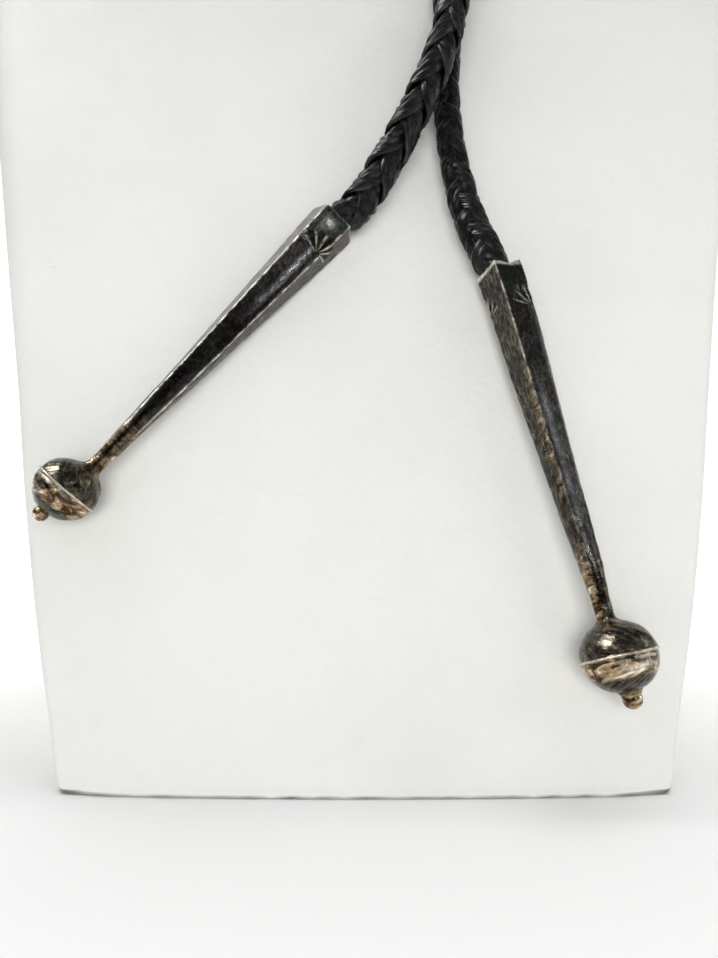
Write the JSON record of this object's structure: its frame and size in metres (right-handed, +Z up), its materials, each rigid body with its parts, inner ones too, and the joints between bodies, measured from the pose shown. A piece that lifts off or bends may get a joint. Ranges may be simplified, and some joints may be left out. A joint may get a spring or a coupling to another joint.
{
  "type": "bolo tie on neck bust",
  "caption": "Bolo tie of braided leather cord with domed slide and tapered silver ball tips, hung on a white leatherette neck bust.",
  "frame": {"origin": "on the surface the bust stands on, under the middle of the whole object's box, the cord left out", "axes": "+Z up, -Y out of the bust's front, +X to the right seen from the front"},
  "size_m": [0.2, 0.1555, 0.375],
  "materials": {
    "leatherette": "white pebbled leatherette, satin",
    "cord_leather": "black braided leather, semi-gloss",
    "silver": "tarnished silver, dark with worn bright edges"
  },
  "bodies": {
    "root": {"neck_bust": "leatherette", "cord": "cord_leather", "slide": "silver", "tip_left": "silver", "tip_right": "silver"}
  },
  "joints": []
}
